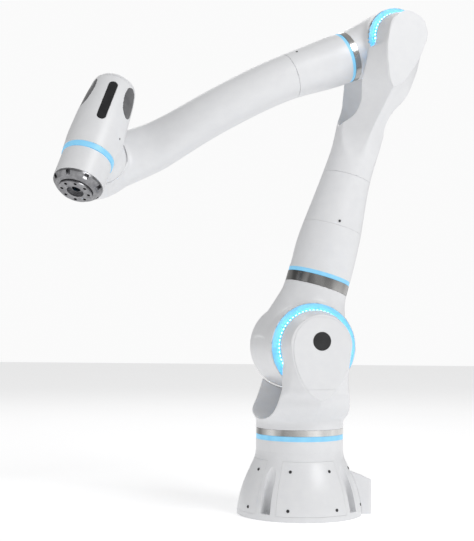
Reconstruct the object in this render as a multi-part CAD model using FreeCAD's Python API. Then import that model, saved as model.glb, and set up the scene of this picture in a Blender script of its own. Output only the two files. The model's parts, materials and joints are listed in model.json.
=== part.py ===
"""Seven-axis collaborative robot arm on a round pedestal, millimetres, +Z up.

The origin is the centre of the pedestal's bottom face, on the first joint's axis. The seven axes are named
AXIS_1 to AXIS_7 from the pedestal to the tool flange. Axes 1, 2 and 3 cross at the shoulder point, axes 3, 4 and
5 at the elbow point, and axes 5, 6 and 7 at the wrist point. Each link is modelled in a frame of its own, with
its origin at the point where its two joints cross, and is then placed at the stored pose.
"""
import FreeCAD, Part
import math
import os

Vector = FreeCAD.Vector

# Driving dimensions of the arm
SHOULDER_HEIGHT = 324.5     # bottom face to the shoulder point
UPPER_ARM = 634.0           # shoulder point to elbow point
FOREARM = 633.0             # elbow point to wrist point
FLANGE_REACH = 116.0        # wrist point to the tool flange's face
RADIUS_1 = 85.0             # body radius at joint 1
RADIUS_3 = 62.0             # body radius at joint 3
RADIUS_5 = 50.0             # body radius at joint 5
RADIUS_7 = 47.0             # body radius at joint 7
SHOULDER_BARREL = 84.0      # radius of the shoulder housing about axis 2
ELBOW_BARREL = 61.0         # radius of the elbow housing about axis 4
WALL = 5.0                  # shell thickness
GAP = 0.6                   # axial gap between two links at a joint

# Joint angles of the stored pose, in degrees
ANGLE_1 = 17.1
ANGLE_2 = 15.9
ANGLE_3 = 5.1
ANGLE_4 = 127.3
ANGLE_5 = 29.4
ANGLE_6 = 49.4

# Heights on the first axis, from the bottom face
PEDESTAL_BOTTOM_RADIUS = 120.0
PEDESTAL_TOP = 145.0
JOINT_1_PLANE = 154.2
RING_1_TOP = 166.4

# Distances along the other axes, from the point where the link's joints cross
BARREL_2_FRONT = 91.0       # shoulder housing's face towards the ear
BARREL_2_BACK = -88.0
EAR_1_FACE = 100.6          # shoulder ear's inner face
EAR_1_END = 140.0           # shoulder ear's flat outer face
RING_3_BOTTOM = 118.3
JOINT_3_PLANE = 138.5
LIGHT_3_TOP = 145.9
BARREL_4_FRONT = 62.0
BARREL_4_BACK = -60.0
EAR_3_FACE = 71.0
EAR_3_END = 112.0
RING_5_BOTTOM = 82.2
JOINT_5_PLANE = 94.5
LIGHT_5_TOP = 101.0
HEAD_BOSS_END = 56.0        # wrist head's boss, behind the wrist point
EAR_5_END = 118.0
LIGHT_7_TOP = 35.5
JOINT_7_PLANE = 46.0
SLEEVE_END = 97.0

# Seams between the casings of the two long links
SEAM_LOWER = 243.0          # from the shoulder point
SEAM_UPPER = 348.0          # from the shoulder point
SEAM_FOREARM = 218.0        # from the elbow point

# Interfaces
BASE_BOLT_CIRCLE = 206.0
BASE_BOLT_HOLE = 5.5
FLANGE_BOLT_CIRCLE = 50.0
FLANGE_HOLE = 3.0
FLANGE_RADIUS = 31.5
FLANGE_RECESS = 15.75
FLANGE_RECESS_DEPTH = 6.5

X = Vector(1, 0, 0)
Y = Vector(0, 1, 0)
Z = Vector(0, 0, 1)
ORIGIN = Vector(0, 0, 0)


# ---------------------------------------------------------------------------------------------- shape helpers
def disc(radius, low, high):
    """Cylinder on Z from one height to another."""
    return Part.makeCylinder(radius, high - low, Vector(0, 0, low), Z)


def ring(outer, inner, low, high):
    return disc(outer, low, high).cut(disc(inner, low - 1, high + 1))


def turned_solid(profile):
    """Solid of revolution about Z from (radius, height) points."""
    points = [Vector(radius, 0, height) for radius, height in profile]
    outline = Part.makePolygon(points + points[:1])
    return Part.Face(outline).revolve(ORIGIN, Z, 360)


def smooth_turned_solid(curve_points, top_points=()):
    """Solid of revolution whose outside is one smooth curve, closed on the axis by straight lines."""
    points = [Vector(radius, 0, height) for radius, height in curve_points]
    curve = Part.BSplineCurve()
    curve.interpolate(points)
    straight = [points[-1]] + [Vector(radius, 0, height) for radius, height in top_points]
    straight += [Vector(0, 0, straight[-1].z), Vector(0, 0, points[0].z), points[0]]
    corners = [straight[0]]
    for point in straight[1:]:
        if not point.isEqual(corners[-1], 1e-6):
            corners.append(point)
    outline = Part.Wire([curve.toShape()] + Part.makePolygon(corners).Edges)
    return Part.Face(outline).revolve(ORIGIN, Z, 360)


def onto_y(shape):
    """Turn a shape built on Z so that its +Z becomes +Y."""
    return shape.rotate(ORIGIN, X, -90)


def box_between(low, high):
    size = Vector(*high) - Vector(*low)
    return Part.makeBox(size.x, size.y, size.z, Vector(*low))


def superellipse(height, centre_y, half_x, half_y, power=2.0):
    """Closed smooth section at one height; a power above 2 squares its corners."""
    count = 24
    points = []
    for i in range(count):
        t = 2 * math.pi * i / count
        c = math.cos(t)
        s = math.sin(t)
        x = half_x * math.copysign(abs(c) ** (2 / power), c)
        y = half_y * math.copysign(abs(s) ** (2 / power), s)
        points.append(Vector(x, centre_y + y, height))
    curve = Part.BSplineCurve()
    curve.interpolate(points, PeriodicFlag=True)
    return Part.Wire(curve.toShape())


def limb(sections, shrink=0.0):
    """Loft through (height, centre_y, half_x, half_y, power) sections, optionally thinner by shrink."""
    wires = [superellipse(h, cy, hx - shrink, hy - shrink, p) for h, cy, hx, hy, p in sections]
    return Part.makeLoft(wires, True, False)


def egg(points, low, high):
    """Flat plate with an egg outline in X and Z, from one y to another."""
    mirrored = [(-x, z) for x, z in reversed(points[1:-1])]
    corners = [Vector(x, low, z) for x, z in points + mirrored]
    curve = Part.BSplineCurve()
    curve.interpolate(corners, PeriodicFlag=True)
    face = Part.Face(Part.Wire(curve.toShape()))
    return face.extrude(Vector(0, high - low, 0))


def scaled_egg(points, grow):
    """The same outline, grown outwards by about the given distance."""
    middle = sum(z for _, z in points) / len(points)
    grown = []
    for x, z in points:
        length = math.hypot(x, z - middle)
        grown.append((x * (1 + grow / length), middle + (z - middle) * (1 + grow / length)))
    return grown


def group(shapes):
    return Part.makeCompound(shapes)


# ------------------------------------------------------------------------------------------- placing the links
def towards(a, b, degrees):
    """Unit vector a turned through an angle towards the perpendicular unit vector b."""
    t = math.radians(degrees)
    return a * math.cos(t) + b * math.sin(t)


def link_frame(origin, y, z):
    x = y.cross(z)
    return FreeCAD.Matrix(x.x, y.x, z.x, origin.x,
                          x.y, y.y, z.y, origin.y,
                          x.z, y.z, z.z, origin.z,
                          0, 0, 0, 1)


AXIS_1 = Z
AXIS_2 = towards(-Y, X, ANGLE_1)
AXIS_3 = towards(AXIS_1, AXIS_1.cross(AXIS_2), ANGLE_2)
AXIS_4 = towards(AXIS_2, AXIS_3.cross(AXIS_2), ANGLE_3)
AXIS_5 = towards(AXIS_3, AXIS_4.cross(AXIS_3), ANGLE_4)
AXIS_6 = towards(AXIS_4, AXIS_5.cross(AXIS_4), ANGLE_5)
AXIS_7 = towards(AXIS_5, AXIS_6.cross(AXIS_5), ANGLE_6)

SHOULDER = Vector(0, 0, SHOULDER_HEIGHT)
ELBOW = SHOULDER + AXIS_3 * UPPER_ARM
WRIST = ELBOW + AXIS_5 * FOREARM
FLANGE = WRIST + AXIS_7 * FLANGE_REACH

FRAMES = {
    "pedestal": link_frame(ORIGIN, Y, Z),
    "shoulder_yoke": link_frame(SHOULDER, AXIS_2, AXIS_1),
    "shoulder": link_frame(SHOULDER, AXIS_2, AXIS_3),
    "upper_arm": link_frame(ELBOW, AXIS_4, AXIS_3),
    "elbow": link_frame(ELBOW, AXIS_4, AXIS_5),
    "forearm": link_frame(WRIST, -AXIS_6, AXIS_5),
    "wrist_head": link_frame(WRIST, AXIS_6, -AXIS_7),
    "tool_end": link_frame(WRIST, AXIS_6.cross(AXIS_7), AXIS_7),
}


# ----------------------------------------------------------------------------------------------- joint drives
def drive_parts(radius, depth, recess):
    """One joint's drive, with the joint's plane at z = 0 and the driven link above it.

    The drive is the motor and gear housing, bolted into the link below. The bearing sits in its mouth. The hub
    is the driven link's flange, whose sleeve runs in the bearing. A cable passage goes through all of them.
    recess is how far the drive stays below the joint's plane.
    """
    passage = 0.24 * radius
    seat = 0.74 * radius
    sleeve = 0.50 * radius
    bearing_low = -recess - 0.42 * depth
    bearing_high = -recess - 0.16 * depth
    drive = ring(radius, passage, -recess - depth, -recess)
    drive = drive.fuse(ring(0.62 * radius, passage, -recess - depth - 6, -recess - depth)).removeSplitter()
    drive = drive.cut(disc(seat, bearing_low, -recess + 1))
    bearing = ring(seat - 0.02, sleeve, bearing_low, bearing_high)
    groove = turned_solid([(0.60 * radius, bearing_high - 2), (0.66 * radius, bearing_high - 2),
                           (0.66 * radius, bearing_high + 1), (0.60 * radius, bearing_high + 1)])
    bearing = bearing.cut(groove)
    hub = ring(sleeve - 0.08, passage + 2, bearing_low + 2, -recess + 2)
    hub = hub.fuse(ring(0.70 * radius, passage + 2, -recess + 1, GAP + 6)).removeSplitter()
    return drive, bearing, hub


# -------------------------------------------------------------------------------------------------- pedestal
FLUTE_ANGLES = [-32, 58, 148, 238]     # from -Y towards +X
PANEL_ANGLES = [13, 103, 193, 283]
BOX_ANGLE = 103
PANEL_HALF_ANGLE = 34
PANEL_LOW = 10.0
PANEL_HIGH = 108.0
PANEL_THICKNESS = 3.0
SCREW_HEIGHTS = [(90.0, 92.5), (21.0, 118.5)]     # height and skirt radius there


def around_base(radius, degrees, height=0.0):
    t = math.radians(degrees)
    return Vector(radius * math.sin(t), -radius * math.cos(t), height)


def skirt(offset):
    """Pedestal's outer surface as a closed solid, drawn in by an offset."""
    flare = [(121.5, 0), (121, 10), (117.8, 30), (110.5, 56), (101.5, 78), (93, 96), (88, 108), (85.4, 120)]
    curve = [(radius - offset, height) for radius, height in flare]
    return smooth_turned_solid(curve, [(RADIUS_1 - offset, 124), (RADIUS_1 - offset, PEDESTAL_TOP)])


def sector(degrees, half_angle, low, high):
    """Wedge of a tall cylinder about the pedestal's axis."""
    reach = 200.0
    corners = [Vector(0, 0, low)]
    for step in (-1, 0, 1):
        corners.append(around_base(reach, degrees + step * half_angle, low))
    outline = Part.makePolygon(corners + corners[:1])
    return Part.Face(outline).extrude(Vector(0, 0, high - low))


def panel_screws():
    screws = []
    for panel in PANEL_ANGLES:
        for side in (-23, 23):
            for height, radius in SCREW_HEIGHTS:
                start = around_base(radius - 8, panel + side, height)
                outwards = around_base(1, panel + side)
                screws.append(Part.makeCylinder(2.6, 7.6, start, outwards))
    return screws


def flute(degrees):
    """Cutter for the tall groove that lets a spanner reach a foundation bolt."""
    centre = BASE_BOLT_CIRCLE / 2
    groove = Part.makeCylinder(11, 85, around_base(centre, degrees, 12), Z)
    mouth = box_between((-11, centre, 12), (11, centre + 40, 97))
    mouth.rotate(ORIGIN, Z, degrees + 180)
    dome = Part.makeSphere(11, around_base(centre, degrees, 97))
    return groove.fuse([mouth, dome])


def connector_box():
    """Cable outlet box on the pedestal's side, drawn with its length along +Y and turned into place."""
    side = [Vector(0, 60, 0), Vector(0, 137, 0), Vector(0, 137, 66), Vector(0, 133, 68), Vector(0, 60, 96)]
    block = Part.Face(Part.makePolygon(side + side[:1])).extrude(Vector(66, 0, 0))
    block.translate(Vector(-33, 0, 0))
    block = block.makeFillet(5, [e for e in block.Edges if abs(e.tangentAt(e.FirstParameter).z) > 0.99
                                 and e.CenterOfMass.y > 130])
    room = box_between((-28, 60, 5), (28, 132, 60))
    opening = box_between((-25, 120, 9), (25, 140, 56))
    block = block.cut(room).cut(opening)
    plate = box_between((-24.8, 132.2, 9.2), (24.8, 135.4, 55.8))
    sockets = []
    for x, z, radius in ((-12, 40, 8.5), (12, 40, 8.5), (-12, 20, 6.0), (12, 20, 6.0)):
        hole = Part.makeCylinder(radius, 20, Vector(x, 125, z), Y)
        plate = plate.cut(hole)
        barrel = Part.makeCylinder(radius, 10, Vector(x, 127, z), Y)
        sockets.append(barrel.cut(Part.makeCylinder(radius - 2.5, 8, Vector(x, 130, z), Y)))
    parts = [block, group([plate] + sockets)]
    for shape in parts:
        shape.rotate(ORIGIN, Z, BOX_ANGLE + 180)
    return parts


def pedestal():
    screws = panel_screws()
    outer = skirt(0)
    inner = turned_solid([(0, 12), (108, 12), (98, 57), (76, 104), (74, 118), (74, 160), (0, 160)])
    casting = outer.cut(inner).cut(disc(38, -1, 13))
    pocket = skirt(0).cut(skirt(PANEL_THICKNESS + 0.1))
    panel_band = skirt(0).cut(skirt(PANEL_THICKNESS))
    panels = []
    for angle in PANEL_ANGLES:
        casting = casting.cut(pocket.common(sector(angle, PANEL_HALF_ANGLE, PANEL_LOW, PANEL_HIGH)))
        panels.append(panel_band.common(sector(angle, PANEL_HALF_ANGLE - 0.15, PANEL_LOW + 0.3, PANEL_HIGH - 0.3)))
    bosses = [disc(17, 12, 116).translate(around_base(BASE_BOLT_CIRCLE / 2, angle)) for angle in FLUTE_ANGLES]
    casting = casting.fuse(group(bosses).common(outer)).removeSplitter()
    for angle in FLUTE_ANGLES:
        casting = casting.cut(flute(angle))
        casting = casting.cut(Part.makeCylinder(BASE_BOLT_HOLE, 30, around_base(BASE_BOLT_CIRCLE / 2, angle, -5), Z))
    for screw in screws:
        casting = casting.cut(screw)
    box, sockets = connector_box()
    box = box.cut(skirt(-0.2))
    panel_group = group(panels)
    for screw in screws:
        panel_group = panel_group.cut(screw)
    light = ring(84.6, 75.0, PEDESTAL_TOP, JOINT_1_PLANE)
    drive, bearing, hub = drive_parts(68.0, 70.0, 4.0)
    for shape in (drive, bearing, hub):
        shape.translate(Vector(0, 0, JOINT_1_PLANE))
    seat = ring(74.0, 66.0, 118, 150).cut(disc(68.0, 117, 151))
    casting = casting.fuse(seat).removeSplitter()
    return {
        "base_casting": casting,
        "skirt_panels": panel_group,
        "panel_screws": group(screws),
        "connector_box": box,
        "cable_sockets": sockets,
        "j1_light_ring": light,
        "j1_drive": drive,
        "j1_bearing": bearing,
    }, hub


# --------------------------------------------------------------------------------------------- shoulder yoke
SHOULDER_EGG = [(0, 55), (30, 47), (50, 22), (54, -6), (48, -38), (33, -70), (15, -92), (0, -98)]
BADGE_RADIUS = 17.2
BADGE_HEIGHT = 11.0
COVER_SEAM = -78.0          # height of the fine groove across the shoulder cover
ELBOW_EGG = [(0, 43), (24, 36), (37, 14), (39, -12), (34, -42), (22, -76), (9, -102), (0, -110)]
SHOULDER_TROUGH = [(EAR_1_FACE, -80), (80, -119), (46, -135), (12, -138), (-26, -127), (-54, -98), (-67, -44)]
SHOULDER_EAR = (70, 58, 104)        # radius at its face, radius at its end, and drop
SHOULDER_EAR_ROOM = 54
SHOULDER_DRIVE = (50.0, 26.0, 6.0)  # radius, depth and recess, as for every drive
SHAFT_ROOM = 66
YOKE_SECTIONS = [
    (-158.1, 0, 85, 85, 2.0),
    (-142, 2, 86, 88, 2.0),
    (-128, 9, 94, 101, 2.1),
    (-104, 19, 93, 113, 2.1),
    (-74, 22, 89, 115, 2.1),
    (-42, 23, 83, 114, 2.1),
]


def swing_room(profile_y_z, reach):
    """Cutter with an outline in Y and Z, running through in X: the room that the next link swings in."""
    corners = [Vector(-reach, y, z) for y, z in profile_y_z]
    curve = Part.BSplineCurve()
    curve.interpolate(corners, InitialTangent=-Z, FinalTangent=Z)
    closing = Part.makePolygon([corners[-1], Vector(-reach, corners[-1].y, 200),
                                Vector(-reach, corners[0].y, 200), corners[0]])
    outline = Part.Wire([curve.toShape()] + closing.Edges)
    return Part.Face(outline).extrude(Vector(2 * reach, 0, 0))


def ear(face, end, radius, end_radius, drop):
    """Ear with a round top about Y and sides that run down by a drop."""
    def outline(y, r):
        arc = Part.Arc(Vector(-r, y, 0), Vector(0, y, r), Vector(r, y, 0)).toShape()
        side = 0.72 * r
        sides = Part.makePolygon([Vector(r, y, 0), Vector(side, y, -drop), Vector(-side, y, -drop), Vector(-r, y, 0)])
        return Part.Wire([arc] + sides.Edges)
    depth = end - face
    return Part.makeLoft([outline(face, radius), outline(face + 0.6 * depth, 0.4 * radius + 0.6 * end_radius + 2),
                          outline(end, end_radius)], True, True)


def shoulder_yoke(hub):
    body = limb(YOKE_SECTIONS)
    body = body.fuse(ear(EAR_1_FACE, EAR_1_END, *SHOULDER_EAR)).removeSplitter()
    barrel_room = onto_y(disc(SHOULDER_BARREL + 2, -120, EAR_1_FACE))
    trough = swing_room(SHOULDER_TROUGH, 130)
    body = body.cut(barrel_room).cut(trough)
    body = body.cut(disc(SHAFT_ROOM, -160, -144))
    ear_room = onto_y(disc(SHOULDER_EAR_ROOM, EAR_1_FACE - 1, EAR_1_END - 7))
    body = body.cut(ear_room)
    body = body.cut(egg(scaled_egg(SHOULDER_EGG, 0.4), EAR_1_END - 3, EAR_1_END + 2))
    cover = egg(SHOULDER_EGG, EAR_1_END - 3, EAR_1_END + 0.4)
    badge_foot = Vector(0, EAR_1_END - 0.8, BADGE_HEIGHT)
    badge_seat = Part.makeCylinder(BADGE_RADIUS + 0.2, 4, badge_foot, Y)
    cover = cover.cut(badge_seat)
    cover = cover.cut(box_between((-70, EAR_1_END - 0.2, COVER_SEAM - 0.3), (70, EAR_1_END + 3, COVER_SEAM + 0.3)))
    badge = Part.makeCylinder(BADGE_RADIUS, 1.6, badge_foot, Y)
    metal = ring(RADIUS_1, 72, JOINT_1_PLANE + GAP - SHOULDER_HEIGHT, RING_1_TOP - SHOULDER_HEIGHT)
    hub = hub.copy()
    hub.translate(Vector(0, 0, -SHOULDER_HEIGHT))
    drive, bearing, child_hub = drive_parts(*SHOULDER_DRIVE)
    for shape in (drive, bearing, child_hub):
        shape.rotate(ORIGIN, X, 90)
        shape.translate(Vector(0, BARREL_2_FRONT + 4, 0))
    return {
        "j1_metal_ring": metal,
        "j1_hub": hub,
        "yoke_casting": body,
        "shoulder_cover": cover,
        "shoulder_badge": badge,
        "j2_drive": drive,
        "j2_bearing": bearing,
    }, child_hub


# --------------------------------------------------------------------------------------------- joint housings
LIGHT_DEPTH = 6.0
LIGHT_2_OUTER = 81.8        # ring light beside the shoulder ear: lit face's outer radius
LIGHT_2_WALL = 69.5         # and its lit wall's radius
LIGHT_4_OUTER = 59.9        # the same at the elbow
LIGHT_4_WALL = 49.5
HUB_2_ROOM = 40.0
HUB_4_ROOM = 30.0
LED_RADIUS = 1.7
SHOULDER_NECK = [(0, 0, 83, 78, 2.2), (40, 0, 79, 74, 2.1), (80, 0, 69, 67, 2.0), (100, 0, 64, 63.5, 2.0),
                 (RING_3_BOTTOM, 0, RADIUS_3, RADIUS_3, 2.0)]
ELBOW_NECK = [(0, 0, 60, 54, 2.2), (25, 0, 58, 53, 2.1), (50, 0, 54, 52, 2.0), (68, 0, 51, 50.5, 2.0),
              (RING_5_BOTTOM, 0, RADIUS_5, RADIUS_5, 2.0)]


def light_with_leds(outer, wall, low, face, tip, count):
    """Ring light in the groove beside an ear: a lit face, a lit wall, and a row of LED domes on the wall."""
    lit = ring(outer, wall - 5, low, face).fuse(ring(wall, wall - 5, face - 1, tip)).removeSplitter()
    leds = []
    for i in range(count):
        t = 2 * math.pi * i / count
        middle = Vector(wall * math.cos(t), wall * math.sin(t), (face + tip) / 2 + 0.5)
        outwards = Vector(math.cos(t), math.sin(t), 0)
        leds.append(Part.makeCylinder(LED_RADIUS, 1.2, middle - outwards * 0.4, outwards))
    for led in leds:
        lit = lit.cut(led)
    return onto_y(lit), onto_y(group(leds))


def barrel(radius, back, front, light_outer):
    """Round housing body about Y with a domed back edge and a small front edge."""
    return onto_y(turned_solid([(0, back), (radius - 26, back), (radius - 14, back + 3), (radius - 5, back + 9),
                                (radius - 1, back + 17), (radius, back + 26), (radius, front - 12),
                                (radius - 0.6, front - 6), (light_outer + 0.6, front - 1), (light_outer, front),
                                (0, front)]))


def housing(barrel_radius, back, front, light_outer, wall_radius, neck_sections, neck_radius, neck_top):
    outer = barrel(barrel_radius, back, front, light_outer)
    outer = outer.fuse(limb(neck_sections)).removeSplitter()
    room = onto_y(turned_solid([(0, back + 7), (barrel_radius - 32, back + 7), (barrel_radius - 7, back + 26),
                                (barrel_radius - 7, front - 12), (0, front - 12)]))
    neck_room = disc(neck_radius - 8, 0, neck_top + 1)
    outer = outer.cut(room).cut(neck_room)
    light_room = onto_y(ring(light_outer + 1, wall_radius - 5, front - 6, front + 1))
    return outer.cut(light_room)


def shoulder(hub):
    body = housing(SHOULDER_BARREL, BARREL_2_BACK, BARREL_2_FRONT, LIGHT_2_OUTER, LIGHT_2_WALL, SHOULDER_NECK,
                   RADIUS_3, RING_3_BOTTOM)
    body = body.cut(onto_y(disc(HUB_2_ROOM, 70, 95)))
    light, leds = light_with_leds(LIGHT_2_OUTER, LIGHT_2_WALL, BARREL_2_FRONT - LIGHT_DEPTH, BARREL_2_FRONT,
                                  EAR_1_FACE - GAP, 60)
    metal = ring(RADIUS_3, 52, RING_3_BOTTOM, JOINT_3_PLANE - GAP)
    drive, bearing, child_hub = drive_parts(48.0, 44.0, 4.0)
    for shape in (drive, bearing, child_hub):
        shape.translate(Vector(0, 0, JOINT_3_PLANE - GAP))
    return {
        "shoulder_housing": body,
        "j2_hub": hub,
        "j2_light_ring": light,
        "j2_leds": leds,
        "j3_metal_ring": metal,
        "j3_drive": drive,
        "j3_bearing": bearing,
    }, child_hub


# ------------------------------------------------------------------------------------------------- upper arm
UPPER_SECTIONS = [
    (LIGHT_3_TOP - UPPER_ARM, 0, 62, 62, 2.0),
    (-455, 0, 61.6, 61.6, 2.0),
    (SEAM_LOWER - UPPER_ARM, 0, 58.5, 58.5, 2.0),
    (-340, 0, 53, 53, 2.0),
    (SEAM_UPPER - UPPER_ARM, 1, 48, 49, 2.0),
    (-235, 6, 46, 49, 2.0),
    (-190, 9, 47, 59, 2.1),
    (-150, 17, 50, 73, 2.3),
    (-115, 21, 55, 84, 2.6),
    (-80, 22, 58, 90, 2.8),
    (-40, 22, 59, 90, 3.0),
]


ELBOW_TROUGH = [(EAR_3_FACE, -80), (60, -128), (36, -170), (6, -190), (-22, -176), (-43, -144), (-53, -108),
                (-55, -60)]
ELBOW_EAR = (50, 43, 116)
ELBOW_EAR_ROOM = 38
TUBE_ROOM_LENGTH = 110.0            # how far the tube's hollow runs on above the upper seam


def upper_arm_screws():
    """Small screws beside the seams: height, angle about the limb, surface radius."""
    screws = []
    for height, degrees, radius in ((SEAM_LOWER - UPPER_ARM + 8, 78, 59), (SEAM_LOWER - UPPER_ARM + 8, 258, 59),
                                    (SEAM_UPPER - UPPER_ARM - 8, 78, 49), (SEAM_UPPER - UPPER_ARM - 8, 258, 49)):
        t = math.radians(degrees)
        outwards = Vector(math.cos(t), math.sin(t), 0)
        screws.append(Part.makeCylinder(2.4, 5, outwards * (radius - 4.6) + Vector(0, 0, height), outwards))
    return screws


def upper_arm(hub):
    outer = limb(UPPER_SECTIONS)
    outer = outer.fuse(ear(EAR_3_FACE, EAR_3_END, *ELBOW_EAR)).removeSplitter()
    room = limb(UPPER_SECTIONS[:8], WALL)
    room = room.cut(disc(300, SEAM_UPPER - UPPER_ARM + TUBE_ROOM_LENGTH, 0))
    outer = outer.cut(room)
    outer = outer.cut(onto_y(disc(ELBOW_BARREL + 1.5, -120, EAR_3_FACE)))
    trough = swing_room(ELBOW_TROUGH, 110)
    outer = outer.cut(trough)
    outer = outer.cut(onto_y(disc(ELBOW_EAR_ROOM, EAR_3_FACE - 1, EAR_3_END - 7)))
    outer = outer.cut(egg(scaled_egg(ELBOW_EGG, 0.4), EAR_3_END - 3, EAR_3_END + 2))
    screws = upper_arm_screws()
    for screw in screws:
        outer = outer.cut(screw)
    low = LIGHT_3_TOP - UPPER_ARM
    first = SEAM_LOWER - UPPER_ARM
    second = SEAM_UPPER - UPPER_ARM
    collar = outer.common(disc(200, low, first - 0.15))
    tube = outer.common(disc(200, first + 0.15, second - 0.15))
    top = outer.common(disc(300, second + 0.15, 200))
    cover = egg(ELBOW_EGG, EAR_3_END - 3, EAR_3_END + 0.4)
    light = ring(RADIUS_3 - 0.4, 52, JOINT_3_PLANE - UPPER_ARM, low)
    hub = hub.copy()
    hub.translate(Vector(0, 0, -UPPER_ARM))
    drive, bearing, child_hub = drive_parts(35.0, 26.0, 6.0)
    for shape in (drive, bearing, child_hub):
        shape.rotate(ORIGIN, X, 90)
        shape.translate(Vector(0, BARREL_4_FRONT + 3.5, 0))
    return {
        "j3_light_ring": light,
        "j3_hub": hub,
        "upper_arm_collar": collar,
        "upper_arm_tube": tube,
        "elbow_yoke_casting": top,
        "elbow_cover": cover,
        "upper_arm_screws": group(screws),
        "j4_drive": drive,
        "j4_bearing": bearing,
    }, child_hub


def elbow(hub):
    body = housing(ELBOW_BARREL, BARREL_4_BACK, BARREL_4_FRONT, LIGHT_4_OUTER, LIGHT_4_WALL, ELBOW_NECK,
                   RADIUS_5, RING_5_BOTTOM)
    body = body.cut(onto_y(disc(HUB_4_ROOM, 40, 65)))
    light, leds = light_with_leds(LIGHT_4_OUTER, LIGHT_4_WALL, BARREL_4_FRONT - LIGHT_DEPTH, BARREL_4_FRONT,
                                  EAR_3_FACE - GAP, 44)
    metal = ring(RADIUS_5, 41, RING_5_BOTTOM, JOINT_5_PLANE - GAP)
    drive, bearing, child_hub = drive_parts(38.0, 32.0, 4.0)
    for shape in (drive, bearing, child_hub):
        shape.translate(Vector(0, 0, JOINT_5_PLANE - GAP))
    return {
        "elbow_housing": body,
        "j4_hub": hub,
        "j4_light_ring": light,
        "j4_leds": leds,
        "j5_metal_ring": metal,
        "j5_drive": drive,
        "j5_bearing": bearing,
    }, child_hub


# --------------------------------------------------------------------------------------------------- forearm
FOREARM_SECTIONS = [
    (LIGHT_5_TOP - FOREARM, 0, 50, 50, 2.0),
    (-500, 0, 49.6, 49.6, 2.0),
    (-460, 0, 47, 47, 2.0),
    (SEAM_FOREARM - FOREARM, 0, 44.5, 44.5, 2.0),
    (-350, 9, 43.5, 43.5, 2.0),
    (-300, 22, 43.5, 43, 2.0),
    (-250, 38, 44, 42, 2.0),
    (-200, 58, 45.5, 40, 2.0),
    (-160, 75, 47.5, 37, 2.1),
    (-125, 86, 50.5, 33.5, 2.2),
    (-90, 88.5, 53.5, 31.5, 2.3),
    (-50, 88.5, 57, 31, 2.4),
    (-20, 88.5, 59, 30.5, 2.4),
]


HEAD_SWEEP = [(50, 50), (49, 80), (48, 104), (46, 118), (41, 133), (24, 142)]   # half thickness, reach from axis 6
BOSS_ROOM = 62.5
WRIST_EAR = [(61, HEAD_BOSS_END + GAP), (62, 68), (62, 84), (60.5, 98), (56, 108), (49, 115), (41.5, EAR_5_END)]
WRIST_DRIVE_ROOM = 44
WRIST_COVER_RADIUS = 40
FOREARM_SCREW_SPOTS = ((22, -60), (45, -78), (22, 120), (45, 102))      # distance from the seam, and angle


def head_swing_room():
    """Space that the wrist head sweeps about axis 6, with a running clearance, as a solid about Y."""
    clear = 1.5
    rim = [(reach + clear, half_thickness + clear) for half_thickness, reach in HEAD_SWEEP]
    profile = [(0, -60), (BOSS_ROOM, -60), (BOSS_ROOM, HEAD_BOSS_END + GAP), (0, HEAD_BOSS_END + GAP)]
    sweep = [(0, -50)] + [(r, -h) for r, h in rim] + list(reversed(rim)) + [(0, 50)]
    return onto_y(turned_solid(profile)).fuse(onto_y(turned_solid(sweep)))


def forearm(hub):
    low = LIGHT_5_TOP - FOREARM
    seam = SEAM_FOREARM - FOREARM
    outer = limb(FOREARM_SECTIONS)
    wrist_ear = onto_y(smooth_turned_solid(WRIST_EAR))
    outer = outer.fuse(wrist_ear).removeSplitter()
    outer = outer.cut(head_swing_room())
    outer = outer.cut(limb(FOREARM_SECTIONS[:11], WALL))
    outer = outer.cut(onto_y(disc(WRIST_DRIVE_ROOM, HEAD_BOSS_END - 5, EAR_5_END - 8)))
    outer = outer.cut(onto_y(disc(WRIST_COVER_RADIUS + 0.4, EAR_5_END - 3, EAR_5_END + 5)))
    cover = onto_y(disc(WRIST_COVER_RADIUS, EAR_5_END - 3, EAR_5_END))
    screws = []
    for distance, degrees in FOREARM_SCREW_SPOTS:
        t = math.radians(degrees)
        outwards = Vector(math.cos(t), math.sin(t), 0)
        screws.append(Part.makeCylinder(2.0, 5, outwards * 41.5 + Vector(0, 0, seam - distance), outwards))
    for screw in screws:
        outer = outer.cut(screw)
    collar = outer.common(disc(200, low, seam - 0.15))
    shell = outer.common(disc(300, seam + 0.15, 200))
    light = ring(RADIUS_5 - 0.4, 41, JOINT_5_PLANE - FOREARM, low)
    hub = hub.copy()
    hub.translate(Vector(0, 0, -FOREARM))
    drive, bearing, child_hub = drive_parts(42.0, 34.0, 6.0)
    for shape in (drive, bearing, child_hub):
        shape.rotate(ORIGIN, X, 90)
        shape.translate(Vector(0, HEAD_BOSS_END + GAP, 0))
    return {
        "j5_light_ring": light,
        "j5_hub": hub,
        "forearm_collar": collar,
        "forearm_casting": shell,
        "wrist_cover": cover,
        "forearm_screws": group(screws),
        "j6_drive": drive,
        "j6_bearing": bearing,
    }, child_hub


# ------------------------------------------------------------------------------------------------ wrist head
HEAD_TOP = 141.0
HEAD_SEAM = 129.0
SENSOR_ANGLE = 5            # sensor bar, turned about the head's axis
SCREW_ANGLE = 67            # head screw, turned about the head's axis from +Y
BAR_LOW = 19.0
BAR_HIGH = 113.0
BAR_HALF_WIDTH = 8.5


HEAD_FLANK = [(49.5, -LIGHT_7_TOP), (50.3, 0), (50, 35), (48.5, 65), (46, 95), (43.6, 115), (41.5, 127),
              (38, 134.5), (31, 139.5), (20, HEAD_TOP), (6, HEAD_TOP)]
BOSS_FLARE = [(60.5, -HEAD_BOSS_END), (60, -50), (57.5, -38), (53, -24), (47, -8)]
LENS_HEIGHTS = (38, 66, 94)
WINDOW_ANGLE = 63           # side windows, turned to each side about the head's axis


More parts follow.
